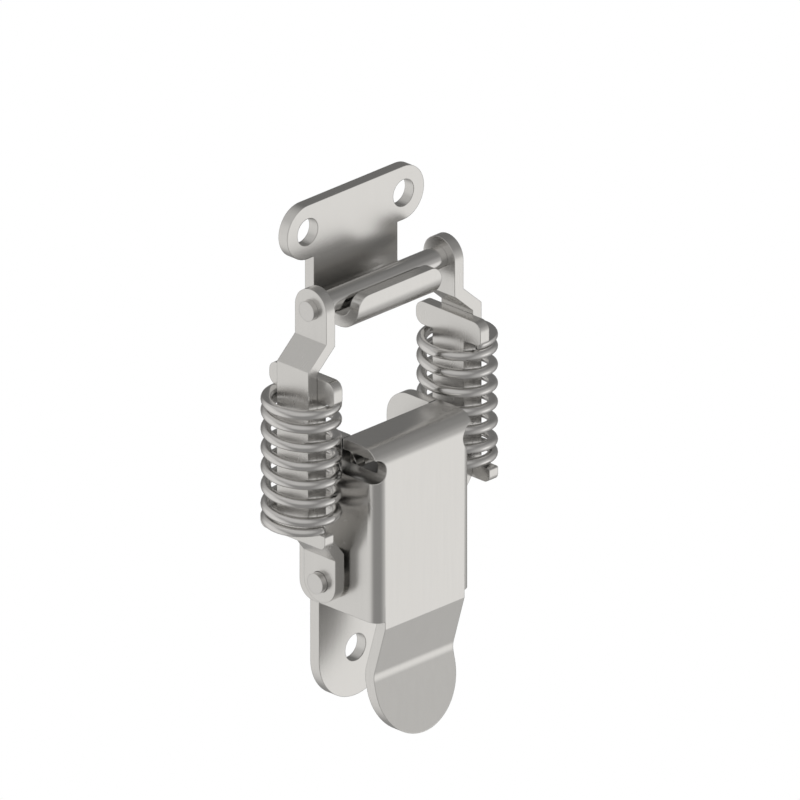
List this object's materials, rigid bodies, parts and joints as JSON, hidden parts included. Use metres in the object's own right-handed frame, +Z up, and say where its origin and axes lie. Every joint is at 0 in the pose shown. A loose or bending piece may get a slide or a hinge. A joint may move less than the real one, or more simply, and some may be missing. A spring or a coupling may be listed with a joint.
{
  "type": "over centre toggle latch",
  "caption": "Sprung over centre toggle latch of bent sheet steel, with a hooked keeper plate, a draw loop on coil springs and a lever with a finger tab, shown closed",
  "frame": {"origin": "centre of the base's lower fixing hole, on the mounting plane", "axes": "+X to the right seen from the front, +Y into the mounting surface, +Z up from the lever's tab to the keeper"},
  "size_m": [0.049, 0.0177, 0.0914],
  "materials": {
    "sheet_steel": "smooth rolled sheet, tumbled edges",
    "pin_steel": "bright drawn rod",
    "spring_wire": "bright drawn wire"
  },
  "bodies": {
    "base": {"base_plate": "sheet_steel", "keeper_plate": "sheet_steel", "lever_pivot_pin": "pin_steel"},
    "lever": {"lever": "sheet_steel", "link_rivet_left": "pin_steel", "link_rivet_right": "pin_steel"},
    "draw_bar": {"lower_link_left": "sheet_steel", "lower_link_right": "sheet_steel", "spring_left": "spring_wire", "spring_right": "spring_wire"},
    "loop": {"upper_link_left": "sheet_steel", "upper_link_right": "sheet_steel", "cross_pin": "pin_steel"}
  },
  "joints": [
    {"name": "lever_hinge", "type": "hinge", "parent": "base", "child": "lever", "pos_m": [0, -0.0079, 0.037], "axis": [-1, 0, 0], "range_deg": [0, 57]},
    {"name": "draw_bar_hinge", "type": "hinge", "parent": "lever", "child": "draw_bar", "pos_m": [0, -0.00735, 0.0175], "axis": [-1, 0, 0], "range_deg": [-36.1, 0]},
    {"name": "spring_travel", "type": "slide", "parent": "draw_bar", "child": "loop", "axis": [0, 0, 1], "range_m": [0, 0.002], "stiffness_N_per_m": 500, "deforming": ["spring_left", "spring_right"]}
  ],
  "couplings": [
    {"joint": "draw_bar_hinge", "follows": "lever_hinge", "ratio": -0.632}
  ]
}
